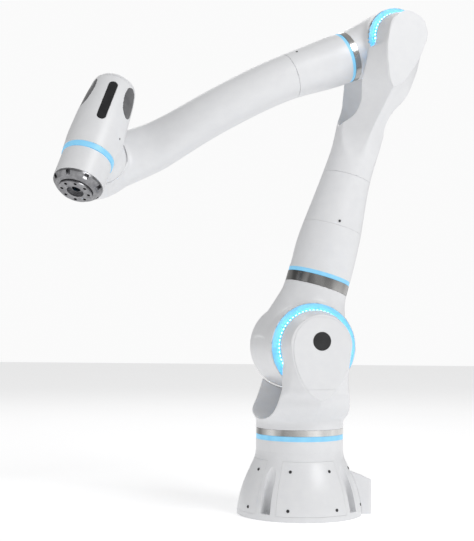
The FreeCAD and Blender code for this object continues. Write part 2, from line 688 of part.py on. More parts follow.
def head_body(offset):
    """Bullet-shaped body of revolution about the head's axis, drawn in by an offset."""
    top = HEAD_TOP - 0.7 * offset
    flank = [(max(r - offset, 3), h) for r, h in HEAD_FLANK if h < top or offset == 0]
    return smooth_turned_solid(flank)


def slot(half_width, low, high, depth):
    """Rounded bar in X and Z, running along +Y from the axis and turned by the sensor bar's angle."""
    bar = box_between((-half_width, 0, low + half_width), (half_width, depth, high - half_width))
    ends = [Part.makeCylinder(half_width, depth, Vector(0, 0, z), Y) for z in (low + half_width, high - half_width)]
    return bar.fuse(ends).removeSplitter().rotate(ORIGIN, Z, SENSOR_ANGLE)


def side_window(degrees):
    """Wide window on the head's flank, as a cutter that is centred on +Y and turned about the head."""
    outline = [(0, 125), (11, 119), (17, 102), (17, 80), (12, 62), (0, 54)]
    window = egg(outline, 20, 80)
    window.rotate(ORIGIN, Z, degrees)
    return window


def wrist_head(hub):
    outer = head_body(0)
    boss = onto_y(smooth_turned_solid(BOSS_FLARE))
    outer = outer.fuse(boss).removeSplitter()
    room = head_body(WALL).fuse(disc(44, -40, -30)).removeSplitter()
    shell = outer.cut(room)
    shell = shell.cut(onto_y(disc(36, -HEAD_BOSS_END - 1, -30)))
    shell = shell.cut(disc(RADIUS_7 + 2, -80, -LIGHT_7_TOP))
    bar = slot(BAR_HALF_WIDTH, BAR_LOW, BAR_HIGH, 80)
    glass_band = head_body(0.4).cut(head_body(2.4))
    window = glass_band.common(slot(BAR_HALF_WIDTH - 0.2, BAR_LOW + 0.2, BAR_HIGH - 0.2, 80))
    side_glass = []
    shell = shell.cut(bar)
    for degrees in (-WINDOW_ANGLE, WINDOW_ANGLE):
        side_glass.append(glass_band.common(side_window(degrees)))
        shell = shell.cut(side_window(degrees))
    lenses = []
    for z in LENS_HEIGHTS:
        lenses.append(Part.makeCylinder(4.0, 6, Vector(0, 35, z), Y).rotate(ORIGIN, Z, SENSOR_ANGLE))
    lens_group = group(lenses).common(head_body(2.5))
    screw_side = towards(Y, -X, SCREW_ANGLE)
    screw = Part.makeCylinder(2.0, 4.2, screw_side * 46.3 + Vector(0, 0, 7), screw_side)
    light = ring(48.6, 36, -JOINT_7_PLANE, -LIGHT_7_TOP)
    cap = shell.common(disc(80, HEAD_SEAM + 0.1, 200))
    shell = shell.common(disc(300, -100, HEAD_SEAM - 0.1))
    shell = shell.cut(screw)
    drive, bearing, child_hub = drive_parts(33.0, 30.0, 3.0)
    for shape in (drive, bearing, child_hub):
        shape.rotate(ORIGIN, X, 180)
        shape.translate(Vector(0, 0, -JOINT_7_PLANE))
    return {
        "head_casing": shell,
        "head_cap": cap,
        "sensor_window": window,
        "sensor_lenses": lens_group,
        "side_windows": group(side_glass),
        "head_screw": screw,
        "j6_hub": hub,
        "j7_light_ring": light,
        "j7_drive": drive,
        "j7_bearing": bearing,
    }, child_hub


# -------------------------------------------------------------------------------------------------- tool end
CLAMP_POCKETS = 8
FLANGE_HOLES = 8


def tool_end(hub):
    low = JOINT_7_PLANE + GAP
    sleeve = ring(RADIUS_7, 38, low, SLEEVE_END)
    bore = FLANGE_RADIUS + 0.2
    clamp = turned_solid([(bore, SLEEVE_END), (RADIUS_7 - 1, SLEEVE_END), (RADIUS_7 - 1, 102), (39, 110),
                          (33.5, 112), (bore, 112)])
    for i in range(CLAMP_POCKETS):
        notch = box_between((-4.2, 40, 99.5), (4.2, 52, 108))
        notch.rotate(ORIGIN, Z, (i + 0.5) * 360 / CLAMP_POCKETS)
        clamp = clamp.cut(notch)
    flange = disc(FLANGE_RADIUS, SLEEVE_END, FLANGE_REACH)
    flange = flange.cut(ring(FLANGE_RADIUS + 1, FLANGE_RADIUS - 1.2, 112, 113.4))
    flange = flange.cut(disc(FLANGE_RECESS, FLANGE_REACH - FLANGE_RECESS_DEPTH, FLANGE_REACH + 1))
    flange = flange.cut(disc(8, SLEEVE_END - 1, FLANGE_REACH))
    for i in range(FLANGE_HOLES):
        t = 2 * math.pi * i / FLANGE_HOLES
        centre = Vector(math.cos(t), math.sin(t), 0) * (FLANGE_BOLT_CIRCLE / 2)
        flange = flange.cut(Part.makeCylinder(FLANGE_HOLE, 14, centre + Vector(0, 0, FLANGE_REACH - 12), Z))
    return {
        "flange_sleeve": sleeve,
        "flange_clamp_ring": clamp,
        "tool_flange": flange,
        "j7_hub": hub,
    }


# ------------------------------------------------------------------------------------------------------ output
def moved(shape, source, target):
    """A shape given in one link's frame, expressed in another link's frame."""
    step = FRAMES[target].inverse() * FRAMES[source]
    return shape.transformed(step, copy=True)


def build():
    """Every node by name, in the row frame."""
    links = {}
    links["pedestal"], hub = pedestal()
    links["shoulder_yoke"], hub = shoulder_yoke(hub)
    links["shoulder"], hub = shoulder(hub)
    links["upper_arm"], hub = upper_arm(hub)
    links["elbow"], hub = elbow(hub)
    links["forearm"], hub = forearm(hub)
    links["wrist_head"], hub = wrist_head(moved(hub, "forearm", "wrist_head"))
    links["tool_end"] = tool_end(moved(hub, "wrist_head", "tool_end"))
    nodes = {}
    for link, shapes in links.items():
        for name, shape in shapes.items():
            nodes[name] = shape.transformed(FRAMES[link], copy=True)
    return nodes, links


def main():
    os.makedirs("parts", exist_ok=True)
    nodes, _ = build()
    for name, shape in nodes.items():
        shape.exportStep(os.path.join("parts", name + ".step"))
        print(f"{name:22s} solids {len(shape.Solids):3d} valid {shape.isValid()} volume {shape.Volume / 1000:9.1f} cm3")
    for name, point in (("shoulder", SHOULDER), ("elbow", ELBOW), ("wrist", WRIST), ("flange", FLANGE)):
        print(name, [round(v / 1000, 5) for v in point])
    for name, axis in (("2", AXIS_2), ("3", AXIS_3), ("4", AXIS_4), ("5", AXIS_5), ("6", AXIS_6), ("7", AXIS_7)):
        print("axis", name, [round(v, 6) for v in axis])


main()
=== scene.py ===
"""Looks of the seven-axis robot arm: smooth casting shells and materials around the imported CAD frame."""

import json
import math

import bpy
import numpy as np
from mathutils import Matrix, Vector
from mathutils.bvhtree import BVHTree


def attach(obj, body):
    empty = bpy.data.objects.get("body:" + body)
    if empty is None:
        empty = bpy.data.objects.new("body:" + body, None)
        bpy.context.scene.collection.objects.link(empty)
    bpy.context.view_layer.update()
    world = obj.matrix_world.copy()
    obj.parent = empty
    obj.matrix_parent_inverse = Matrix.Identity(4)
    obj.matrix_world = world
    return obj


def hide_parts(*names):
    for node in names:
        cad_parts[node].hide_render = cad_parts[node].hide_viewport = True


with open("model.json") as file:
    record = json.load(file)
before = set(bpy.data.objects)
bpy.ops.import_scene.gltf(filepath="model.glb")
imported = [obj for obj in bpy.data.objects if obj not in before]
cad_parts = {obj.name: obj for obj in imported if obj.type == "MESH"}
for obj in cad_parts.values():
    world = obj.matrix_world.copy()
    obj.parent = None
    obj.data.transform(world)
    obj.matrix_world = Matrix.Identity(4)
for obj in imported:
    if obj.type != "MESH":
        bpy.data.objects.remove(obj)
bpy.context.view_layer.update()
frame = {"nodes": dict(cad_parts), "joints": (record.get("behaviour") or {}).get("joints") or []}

MM = 0.001
AWAY = 400.0          # past the end of anything that is cut with it, in mm

# Link dimensions in mm, as in the CAD model
RADIUS_3 = 62.0
RADIUS_5 = 50.0
RADIUS_7 = 47.0
WALL = 5.0
UPPER_ARM = 634.0
FOREARM = 633.0
SEAM_UPPER = 348.0
SEAM_FOREARM = 218.0
YOKE_BOTTOM = -158.1
SHOULDER_BARREL = 84.0
ELBOW_BARREL = 61.0
EAR_1_FACE = 100.6
EAR_1_END = 140.0
EAR_3_FACE = 71.0
EAR_3_END = 112.0
HEAD_BOSS_END = 56.0
EAR_5_FACE = HEAD_BOSS_END + 0.6
EAR_5_END = 118.0
RING_3_BOTTOM = 118.3
RING_5_BOTTOM = 82.2

# Of the visual shells alone, in mm: the CAD castings' own rooms and walls differ
SEAM_GAP = 0.15             # how far past its seam a casting starts
EAR_TRIM = 0.4              # how far inside an ear's end its flat face lies
GROOVE_EDGE = 0.4           # rounding of the ring lights' grooves
HOUSING_WALL = 7.0
NECK_WALL = 8.0
EAR_SKIN = 8.0              # wall left outside the room in an ear
EAR_ROOM_START = 9.0        # how far before the ear's inner face that room's cutter starts


# -------------------------------------------------------------------------------------- link frames
JOINTS = {joint["name"]: joint for joint in frame["joints"]}


def axis_of(name):
    return Vector(JOINTS[name]["axis"]).normalized()


def link_matrix(origin_joint, y_axis, z_axis):
    """Matrix from a link's own frame in mm to the row frame in metres."""
    y = y_axis.normalized()
    x = y.cross(z_axis).normalized()
    z = x.cross(y)
    matrix = Matrix((x, y, z)).transposed().to_4x4()
    matrix.translation = Vector(JOINTS[origin_joint]["pos_m"])
    return matrix @ Matrix.Scale(MM, 4)


AXIS_1 = axis_of("j1_base")
AXIS_2 = axis_of("j2_shoulder")
AXIS_3 = axis_of("j3_upper_arm_roll")
AXIS_4 = axis_of("j4_elbow")
AXIS_5 = axis_of("j5_forearm_roll")
AXIS_6 = axis_of("j6_wrist")
AXIS_7 = axis_of("j7_flange")

LINKS = {
    "shoulder_yoke": link_matrix("j2_shoulder", AXIS_2, AXIS_1),
    "shoulder": link_matrix("j2_shoulder", AXIS_2, AXIS_3),
    "upper_arm": link_matrix("j4_elbow", AXIS_4, AXIS_3),
    "elbow": link_matrix("j4_elbow", AXIS_4, AXIS_5),
    "forearm": link_matrix("j6_wrist", -AXIS_6, AXIS_5),
    "wrist_head": link_matrix("j6_wrist", AXIS_6, -AXIS_7),
}


# --------------------------------------------------------------------------- signed distance fields
# A field takes points in mm, one a row, and gives about the distance to a surface, below zero inside it.
BORE_OVERRUN = 9.0
EAR_TAPER = 0.28            # how much narrower an ear is at its foot than at its axis, as a share
INNER_ROUNDING = 1.0        # of an ear's inner edge
CREASE_ROUNDING = 1.0       # in square mm, softens the crease where a keel's planes meet


def blend_union(a, b, width):
    h = np.clip(0.5 + 0.5 * (b - a) / width, 0, 1)
    return b + (a - b) * h - width * h * (1 - h)


def blend_common(a, b, width):
    return -blend_union(-a, -b, width)


def blend_cut(a, b, width=0.8):
    """Shape a without shape b, its new edge rounded over about the width."""
    return blend_common(a, -b, width)


def cylinder(p, axis, radius, low, high, low_round=0.0, high_round=0.0):
    """Cylinder along axis 1 (Y) or 2 (Z), with rounded ends."""
    across = p[:, [0, 3 - axis]]
    r = np.hypot(across[:, 0], across[:, 1])
    middle = (low + high) / 2
    h = p[:, axis] - middle
    rounding = np.where(h > 0, high_round, low_round)
    side = r - (radius - rounding)
    end = np.abs(h) - ((high - low) / 2 - rounding)
    outside = np.hypot(np.maximum(side, 0), np.maximum(end, 0))
    return outside + np.minimum(np.maximum(side, end), 0) - rounding


def tube(p, axis, outer, inner, low, high):
    bore = cylinder(p, axis, inner, low - BORE_OVERRUN, high + BORE_OVERRUN)
    return np.maximum(cylinder(p, axis, outer, low, high), -bore)


def section_curves(sections, z):
    """Centre, half sizes and power at each height, smooth through the listed sections."""
    table = np.array(sections, float)
    heights = table[:, 0]
    slopes = np.gradient(table[:, 1:], heights, axis=0)
    clamped = np.clip(z, heights[0], heights[-1])
    i = np.clip(np.searchsorted(heights, clamped) - 1, 0, len(heights) - 2)
    span = heights[i + 1] - heights[i]
    t = ((clamped - heights[i]) / span)[:, None]
    span = span[:, None]
    start, end = table[i, 1:], table[i + 1, 1:]
    return ((2 * t**3 - 3 * t**2 + 1) * start + (t**3 - 2 * t**2 + t) * span * slopes[i]
            + (3 * t**2 - 2 * t**3) * end + (t**3 - t**2) * span * slopes[i + 1])


def limb(p, sections, shrink=0.0):
    """Endless limb along Z through (height, centre_y, half_x, half_y, power) sections."""
    centre_y, half_x, half_y, power = section_curves(sections, p[:, 2]).T
    x = np.abs(p[:, 0])
    y = np.abs(p[:, 1] - centre_y)
    reach = np.hypot(x, y) + 1e-6
    norm = ((x / (half_x - shrink)) ** power + (y / (half_y - shrink)) ** power) ** (1 / power) + 1e-9
    return reach * (1 - 1 / norm)


def smooth_path(points, count=8):
    """Denser points on a smooth curve through the given ones."""
    table = np.array(points, float)
    lengths = np.concatenate([[0], np.cumsum(np.hypot(*np.diff(table, axis=0).T))])
    fine = np.linspace(0, lengths[-1], count * (len(points) - 1) + 1)
    rows = np.column_stack([lengths, table, np.ones(len(points))])
    return section_curves(rows, fine)[:, :2]


def outline_field(a, b, outline):
    """Distance to a closed outline in a plane, below zero inside."""
    corners = np.array(outline, float)
    best = np.full(len(a), 1e9)
    inside = np.zeros(len(a), bool)
    for start, end in zip(corners, np.roll(corners, -1, axis=0)):
        along = end - start
        ra, rb = a - start[0], b - start[1]
        t = np.clip((ra * along[0] + rb * along[1]) / max(along @ along, 1e-12), 0, 1)
        best = np.minimum(best, np.hypot(ra - t * along[0], rb - t * along[1]))
        crosses = (start[1] > b) != (end[1] > b)
        slope = along[0] / along[1] if along[1] else 0.0
        inside ^= crosses & (ra < slope * rb)
    return np.where(inside, -best, best)


def swing_room(p, profile):
    """Room for the next link, with an outline in Y and Z and running through in X."""
    path = smooth_path(profile)
    outline = np.vstack([path, [[path[-1][0], AWAY], [path[0][0], AWAY]]])
    return outline_field(p[:, 1], p[:, 2], outline)


def ear(p, face, end, radius, end_radius, drop, rounding):
    """Round-topped ear about Y with sides running down, narrower at its outer end."""
    t = np.clip((p[:, 1] - face) / (end - face), 0, 1)
    r = radius + (end_radius - radius) * t
    x, z = np.abs(p[:, 0]), p[:, 2]
    top = np.hypot(x, np.maximum(z, 0)) - r
    side = x - r * (1 + EAR_TAPER * np.minimum(z, 0) / drop)
    across = np.where(z > 0, top, side)
    across = np.maximum(across, -drop - z)
    middle = (face + end) / 2
    depth = np.abs(p[:, 1] - middle) - (end - face) / 2
    corner = np.where(p[:, 1] > middle, rounding, INNER_ROUNDING)
    a, b = across + corner, depth + corner
    return np.hypot(np.maximum(a, 0), np.maximum(b, 0)) + np.minimum(np.maximum(a, b), 0) - corner


def keel(p, rows):
    """Two side planes beside a flat face, from (height, face_y, face_half_width, angle) rows.

    Where the face has no width the planes meet in a crease. The angle is measured from the face.
    """
    face, half_width, degrees = section_curves(rows, p[:, 2]).T
    t = np.radians(degrees)
    across = np.sqrt(p[:, 0] ** 2 + CREASE_ROUNDING) - half_width
    return (p[:, 1] - face) * np.cos(t) + across * np.sin(t)


# --------------------------------------------------------------------------- fields of the castings
# Limb sections: height, centre in Y, half size in X, half size in Y, power
YOKE_SECTIONS = [
    (YOKE_BOTTOM, 0, 85, 85, 2.0), (-142, 2, 86, 88, 2.0), (-128, 9, 94, 101, 2.1),
    (-104, 19, 93, 113, 2.1), (-74, 22, 89, 115, 2.1), (-42, 23, 83, 114, 2.1)]
UPPER_SECTIONS = [
    (-340, 0, 53, 53, 2.0), (SEAM_UPPER - UPPER_ARM, 1, 48, 49, 2.0), (-235, 6, 46, 49, 2.0),
    (-190, 9, 47, 59, 2.1), (-150, 17, 50, 73, 2.3), (-115, 21, 55, 84, 2.6),
    (-80, 22, 58, 90, 2.8), (-40, 22, 59, 90, 3.0)]
FOREARM_SECTIONS = [
    (-460, 0, 47, 47, 2.0), (SEAM_FOREARM - FOREARM, 0, 44.5, 44.5, 2.0), (-350, 9, 43.5, 43.5, 2.0),
    (-300, 22, 43.5, 43, 2.0), (-250, 38, 44, 42, 2.0), (-200, 58, 45.5, 40, 2.0),
    (-160, 75, 47.5, 37, 2.1), (-125, 86, 50.5, 33.5, 2.2), (-90, 88.5, 53.5, 31.5, 2.3),
    (-50, 88.5, 57, 31, 2.4), (-20, 88.5, 59, 30.5, 2.4)]

# Edges of the room for the next link: Y, height
YOKE_TROUGH = [
    (EAR_1_FACE, -60), (EAR_1_FACE, -80), (80, -119), (46, -135), (12, -138), (-26, -127),
    (-54, -98), (-67, -44), (-67, -20)]
ELBOW_TROUGH = [
    (EAR_3_FACE, -50), (EAR_3_FACE, -80), (60, -128), (36, -170), (6, -190), (-22, -176),
    (-43, -144), (-53, -108), (-55, -60), (-55, -40)]

# Keel rows: height, face in Y, half width of the face, angle of the planes in degrees
YOKE_KEEL = [
    (-158, 88, 0, 0), (-142, 91, 0, 10), (-128, 108, 0, 20), (-113, 127, 0, 26), (-98, 140, 0, 31),
    (-90, 140, 18, 36), (-70, 140, 36, 44), (-38, 140, 51, 56), (-6, 140, 58, 70), (4, 140, 60, 75)]
ELBOW_KEEL = [
    (-286, 52, 0, 8), (-235, 57, 0, 30), (-190, 68, 0, 46), (-150, 89, 0, 47), (-112, 112, 0, 43),
    (-102, 112, 10, 46), (-76, 112, 23, 52), (-42, 112, 35, 62), (-12, 112, 40, 72), (4, 112, 41, 75)]

YOKE_BODY_TOP = -42.0
YOKE_BORE = (66.0, -144.0)          # radius, top
YOKE_EAR = (70, 60, 120, 2)         # radius, radius at the outer end, drop, edge rounding
YOKE_EAR_ROOM = 54.0
SHOULDER_GAP = 2.0

UPPER_BODY_TOP = -40.0
UPPER_EAR = (50, 42, 130, 1.5)
UPPER_EAR_ROOM = 38.0
UPPER_ROOM_TOP = -272.0             # the keel's planes come close to the wall above this
ELBOW_GAP = 1.5

FOREARM_BODY_TOP = -20.0
FOREARM_EAR = (62, 20)              # radius, edge rounding
FOREARM_EAR_OVERLAP = 8.0           # how far the ear reaches into the forearm
FOREARM_EAR_ROOM = 44.0
FOREARM_EAR_SKIN = 9.0
FOREARM_ROOM_TOP = -60.0

SHOULDER_HOUSING = {
    "barrel": SHOULDER_BARREL, "back": -88, "front": 91, "dome": 26, "front_round": 3,
    "neck": [(0, 0, 83, 80, 2.6), (40, 0, 79, 76, 2.6), (80, 0, 69, 68, 2.2), (100, 0, 64, 64, 2.0),
             (RING_3_BOTTOM, 0, RADIUS_3, RADIUS_3, 2.0)],
    "neck_blend": 10, "front_blend": 2, "neck_top": RING_3_BOTTOM, "neck_radius": RADIUS_3,
    "room_back": -80, "room_front": 79, "room_dome": 24, "hub_radius": 40, "hub_start": 70,
    "light_outer": 81.8, "light_inner": 64.5, "light_start": 85}
ELBOW_HOUSING = {
    "barrel": ELBOW_BARREL, "back": -60, "front": 62, "dome": 22, "front_round": 1.2,
    "neck": [(0, 0, 60, 56, 2.6), (25, 0, 58, 54, 2.5), (50, 0, 54, 52, 2.2), (68, 0, 51, 50.5, 2.0),
             (RING_5_BOTTOM, 0, RADIUS_5, RADIUS_5, 2.0)],
    "neck_blend": 8, "front_blend": 1, "neck_top": RING_5_BOTTOM, "neck_radius": RADIUS_5,
    "room_back": -52, "room_front": 50, "room_dome": 20, "hub_radius": 30, "hub_start": 40,
    "light_outer": 59.9, "light_inner": 44.5, "light_start": 56}


def yoke_field(p):
    body = limb(p, YOKE_SECTIONS)
    body = blend_common(body, p[:, 2] - YOKE_BODY_TOP, 8)
    body = blend_union(body, ear(p, EAR_1_FACE, EAR_1_END, *YOKE_EAR), 14)
    body = blend_common(body, keel(p, YOKE_KEEL), 2)
    body = blend_common(body, p[:, 1] - EAR_1_END + EAR_TRIM, 1.5)
    body = blend_cut(body, cylinder(p, 1, SHOULDER_BARREL + SHOULDER_GAP, -AWAY, EAR_1_FACE), 2)
    body = blend_cut(body, swing_room(p, YOKE_TROUGH), 4)
    body = np.maximum(body, YOKE_BOTTOM - p[:, 2])
    bore_radius, bore_top = YOKE_BORE
    body = blend_cut(body, cylinder(p, 2, bore_radius, -AWAY, bore_top))
    return blend_cut(body, cylinder(p, 1, YOKE_EAR_ROOM, EAR_1_FACE - EAR_ROOM_START, EAR_1_END - EAR_SKIN))


def housing_field(p, part):
    """Domed barrel about Y with a neck up Z, hollow, with a groove for its ring light."""
    body = cylinder(p, 1, part["barrel"], part["back"], part["front"], part["dome"], part["front_round"])
    # The neck counts only above the axis, so that it doesn't thicken the barrel's underside
    body = blend_union(body, np.maximum(limb(p, part["neck"]), -p[:, 2]), part["neck_blend"])
    body = blend_common(body, p[:, 1] - part["front"], part["front_blend"])
    body = np.maximum(body, p[:, 2] - part["neck_top"])
    room_radius = part["barrel"] - HOUSING_WALL
    room = cylinder(p, 1, room_radius, part["room_back"], part["room_front"], part["room_dome"])
    body = blend_cut(body, room)
    body = blend_cut(body, cylinder(p, 2, part["neck_radius"] - NECK_WALL, 0, AWAY))
    body = blend_cut(body, cylinder(p, 1, part["hub_radius"], part["hub_start"], AWAY))
    groove = tube(p, 1, part["light_outer"], part["light_inner"], part["light_start"], AWAY)
    return blend_cut(body, groove, GROOVE_EDGE)


def shoulder_field(p):
    return housing_field(p, SHOULDER_HOUSING)


def elbow_field(p):
    return housing_field(p, ELBOW_HOUSING)


def elbow_yoke_field(p):
    body = limb(p, UPPER_SECTIONS)
    body = blend_common(body, p[:, 2] - UPPER_BODY_TOP, 6)
    body = blend_union(body, ear(p, EAR_3_FACE, EAR_3_END, *UPPER_EAR), 16)
    body = blend_common(body, keel(p, ELBOW_KEEL), 2)
    body = blend_common(body, p[:, 1] - EAR_3_END + EAR_TRIM, 1.2)
    body = blend_cut(body, np.maximum(limb(p, UPPER_SECTIONS, WALL), p[:, 2] - UPPER_ROOM_TOP))
    body = blend_cut(body, cylinder(p, 1, ELBOW_BARREL + ELBOW_GAP, -AWAY, EAR_3_FACE), 2)
    body = blend_cut(body, swing_room(p, ELBOW_TROUGH), 3)
    body = np.maximum(body, SEAM_UPPER - UPPER_ARM + SEAM_GAP - p[:, 2])
    return blend_cut(body, cylinder(p, 1, UPPER_EAR_ROOM, EAR_3_FACE - EAR_ROOM_START, EAR_3_END - EAR_SKIN))


# Half thickness of the wrist head, and its reach from axis 6
HEAD_SWEEP = [(50, 50), (49, 80), (48, 104), (46, 118), (41, 133), (24, 142)]
HEAD_CLEARANCE = 1.5
BOSS_ROOM = (62.5, -60.0)           # radius, low end


def head_swing_room(p):
    """What the wrist head sweeps about its axis, with a running clearance."""
    r = np.hypot(p[:, 0], p[:, 2])
    rim = [(reach + HEAD_CLEARANCE, half + HEAD_CLEARANCE) for half, reach in HEAD_SWEEP]
    low_rim = [(reach, -half) for reach, half in rim]
    outline = [(0, low_rim[0][1])] + low_rim + rim[::-1] + [(0, rim[0][1])]
    boss_radius, boss_low = BOSS_ROOM
    return np.minimum(outline_field(r, p[:, 1], outline), cylinder(p, 1, boss_radius, boss_low, EAR_5_FACE))


def forearm_field(p):
    body = limb(p, FOREARM_SECTIONS)
    body = blend_common(body, p[:, 2] - FOREARM_BODY_TOP, 6)
    radius, rounding = FOREARM_EAR
    wrist_ear = cylinder(p, 1, radius, EAR_5_FACE - FOREARM_EAR_OVERLAP, EAR_5_END, 1, rounding)
    body = blend_union(body, wrist_ear, 12)
    body = blend_cut(body, head_swing_room(p), 1.0)
    body = blend_cut(body, np.maximum(limb(p, FOREARM_SECTIONS, WALL), p[:, 2] - FOREARM_ROOM_TOP))
    body = np.maximum(body, SEAM_FOREARM - FOREARM + SEAM_GAP - p[:, 2])
    room_start, room_end = EAR_5_FACE - EAR_ROOM_START, EAR_5_END - FOREARM_EAR_SKIN
    return blend_cut(body, cylinder(p, 1, FOREARM_EAR_ROOM, room_start, room_end))


HEAD_TOP = 141.0
HEAD_SEAM = 129.0
HEAD_SEAM_GAP = 0.1                 # half of the gap between the head and its cap
HEAD_BOTTOM = -RADIUS_7 - 20
HEAD_TOP_BLEND = 13
BOSS_BLEND = 12
OPENING_EDGE = 0.5                  # rounding of the edges of the head's openings
LIGHT_7_TOP = 35.5
LIGHT_7_GAP = 2                     # between the tool end and the head around it
HEAD_ROOM_BOTTOM = -LIGHT_7_TOP - 8
SENSOR_ANGLE = 5.0
WINDOW_ANGLE = 63.0
WINDOW_FLOOR = 20.0                 # how far from the head's axis the window openings start
BAR = (8.5, 19.0, 113.0)            # half width, low end, high end
BOSS_ROOM_IN_HEAD = (36.0, -30.0)   # radius, high end
HEAD_SECTIONS = [
    (-60, 0, 49.3, 49.3, 2.0), (-LIGHT_7_TOP, 0, 49.5, 49.5, 2.0), (0, 0, 50.3, 50.3, 2.0),
    (35, 0, 50, 50, 2.0), (65, 0, 48.5, 48.5, 2.0), (95, 0, 46, 46, 2.0), (115, 0, 43.6, 43.6, 2.0),
    (127, 0, 41.5, 41.5, 2.0), (141, 0, 37, 37, 2.0)]
BOSS_FLARE = [(-HEAD_BOSS_END, 60.5), (-50, 60), (-38, 57.5), (-24, 53), (-8, 47), (0, 45)]     # Y, radius
WINDOW_OUTLINE = [                  # X, height
    (0, 125), (11, 119), (17, 102), (17, 80), (12, 62), (0, 54), (-12, 62), (-17, 80), (-17, 102),
    (-11, 119), (0, 125)]


def turned(p, degrees):
    """Points as seen by a feature that is turned about the head's axis."""
    t = math.radians(degrees)
    x = p[:, 0] * math.cos(t) + p[:, 1] * math.sin(t)
    y = p[:, 1] * math.cos(t) - p[:, 0] * math.sin(t)
    return x, y


def head_openings(p):
    """Slot of the sensor bar and the two side windows."""
    half_width, low, high = BAR
    x, y = turned(p, SENSOR_ANGLE)
    nearest = np.clip(p[:, 2], low + half_width, high - half_width)
    openings = np.maximum(np.hypot(x, p[:, 2] - nearest) - half_width, -y)
    outline = smooth_path(WINDOW_OUTLINE, 5)
    for degrees in (-WINDOW_ANGLE, WINDOW_ANGLE):
        x, y = turned(p, degrees)
        openings = np.minimum(openings, np.maximum(outline_field(x, p[:, 2], outline), WINDOW_FLOOR - y))
    return openings


def whole_head_field(p):
    body = blend_common(limb(p, HEAD_SECTIONS), p[:, 2] - HEAD_TOP, HEAD_TOP_BLEND)
    body = np.maximum(body, -LIGHT_7_TOP - p[:, 2])
    heights, radii = np.array(BOSS_FLARE, float).T
    boss = np.hypot(p[:, 0], p[:, 2]) - np.interp(p[:, 1], heights, radii)
    boss = np.maximum(boss, p[:, 1])
    body = np.maximum(blend_union(body, boss, BOSS_BLEND), -HEAD_BOSS_END - p[:, 1])
    body = blend_cut(body, cylinder(p, 2, RADIUS_7 + LIGHT_7_GAP, -AWAY, -LIGHT_7_TOP), OPENING_EDGE)
    body = np.maximum(body, HEAD_BOTTOM - p[:, 2])
    room = np.maximum(limb(p, HEAD_SECTIONS, WALL), p[:, 2] - HEAD_TOP + WALL)
    body = np.maximum(body, -np.maximum(room, HEAD_ROOM_BOTTOM - p[:, 2]))
    boss_radius, boss_high = BOSS_ROOM_IN_HEAD
    body = np.maximum(body, -cylinder(p, 1, boss_radius, -AWAY, boss_high))
    return blend_cut(body, head_openings(p), OPENING_EDGE)


def head_field(p):
    return np.maximum(whole_head_field(p), p[:, 2] - HEAD_SEAM + HEAD_SEAM_GAP)


def cap_field(p):
    return np.maximum(whole_head_field(p), HEAD_SEAM + HEAD_SEAM_GAP - p[:, 2])


# ------------------------------------------------------------------------------------ field to mesh
COARSE_STRIDE = 4       # fine cells between the points of the first, coarse pass
NEAR_SURFACE = 2.6      # coarse cells within which every fine point is worked out
SETTLE_PASSES = 3
SETTLE_SLOPE = 0.25     # half the span that a slope is measured over, as a share of a cell
NORMAL_SLOPE = 0.35     # the same, for the normals
SETTLE_REACH = 0.8      # furthest that a vertex is moved, as a share of a cell
GRID_MARGIN = 3         # cells around a casting's box


def sample_field(field, low, high, step):
    """Field values on a regular grid, worked out at every point only near the surface."""
    stride = COARSE_STRIDE
    counts = np.ceil((high - low) / (step * stride)).astype(int) * stride + 1
    axes = [low[i] + step * np.arange(counts[i]) for i in range(3)]
    corners = np.stack(np.meshgrid(*[a[::stride] for a in axes], indexing="ij"), -1)
    values = field(corners.reshape(-1, 3)).reshape(corners.shape[:3])
    for i in range(3):
        values = np.repeat(values, stride, axis=i)
    values = np.ascontiguousarray(values[:counts[0], :counts[1], :counts[2]])
    near = np.abs(values) < NEAR_SURFACE * stride * step
    values[near] = field(low + step * np.argwhere(near))
    return values


def surface_net(values, low, step):
    """Vertices and quads of the zero surface: one vertex in each cell that the surface crosses."""
    inside = values < 0
    shape = np.array(values.shape) - 1
    offsets = [np.array((i, j, k)) for i in (0, 1) for j in (0, 1) for k in (0, 1)]

    def shifted(array, offset):
        return array[tuple(slice(o, o + n) for o, n in zip(offset, shape))]

    count = sum(shifted(inside, o).astype(np.int8) for o in offsets)
    cells = np.argwhere((count > 0) & (count < 8))
    number = np.full(shape, -1)
    number[tuple(cells.T)] = np.arange(len(cells))
    total = np.zeros((len(cells), 3))
    crossings = np.zeros(len(cells))
    for a in offsets:
        for axis in range(3):
            if a[axis]:
                continue
            b = a.copy()
            b[axis] = 1
            fa = values[tuple((cells + a).T)]
            fb = values[tuple((cells + b).T)]
            crosses = (fa < 0) != (fb < 0)
            t = np.where(crosses, fa / np.where(crosses, fa - fb, 1), 0)
            total += np.where(crosses[:, None], a + t[:, None] * (b - a), 0)
            crossings += crosses
    vertices = low + step * (cells + total / crossings[:, None])
    quads = []
    for axis in range(3):
        u, v = (axis + 1) % 3, (axis + 2) % 3
        first = [slice(None)] * 3
        second = [slice(None)] * 3
        first[axis], second[axis] = slice(0, -1), slice(1, None)
        change = inside[tuple(first)].astype(np.int8) - inside[tuple(second)]
        edges = np.argwhere(change)
        in_u = (edges[:, u] > 0) & (edges[:, u] < shape[u])
        in_v = (edges[:, v] > 0) & (edges[:, v] < shape[v])
        edges = edges[in_u & in_v]
        outwards = change[tuple(edges.T)] > 0
        step_u, step_v = np.eye(3, dtype=int)[u], np.eye(3, dtype=int)[v]
        around = [number[tuple((edges - du * step_u - dv * step_v).T)]
                  for du, dv in ((1, 1), (0, 1), (0, 0), (1, 0))]
        faces = np.column_stack(around)
        faces[~outwards] = faces[~outwards][:, ::-1]
        quads.append(faces)
    return vertices, np.vstack(quads)


def slope_of(field, points, step):
    slope = np.empty_like(points)
    for i in range(3):
        shift = np.zeros(3)
        shift[i] = step
        slope[:, i] = (field(points + shift) - field(points - shift)) / (2 * step)
    return slope


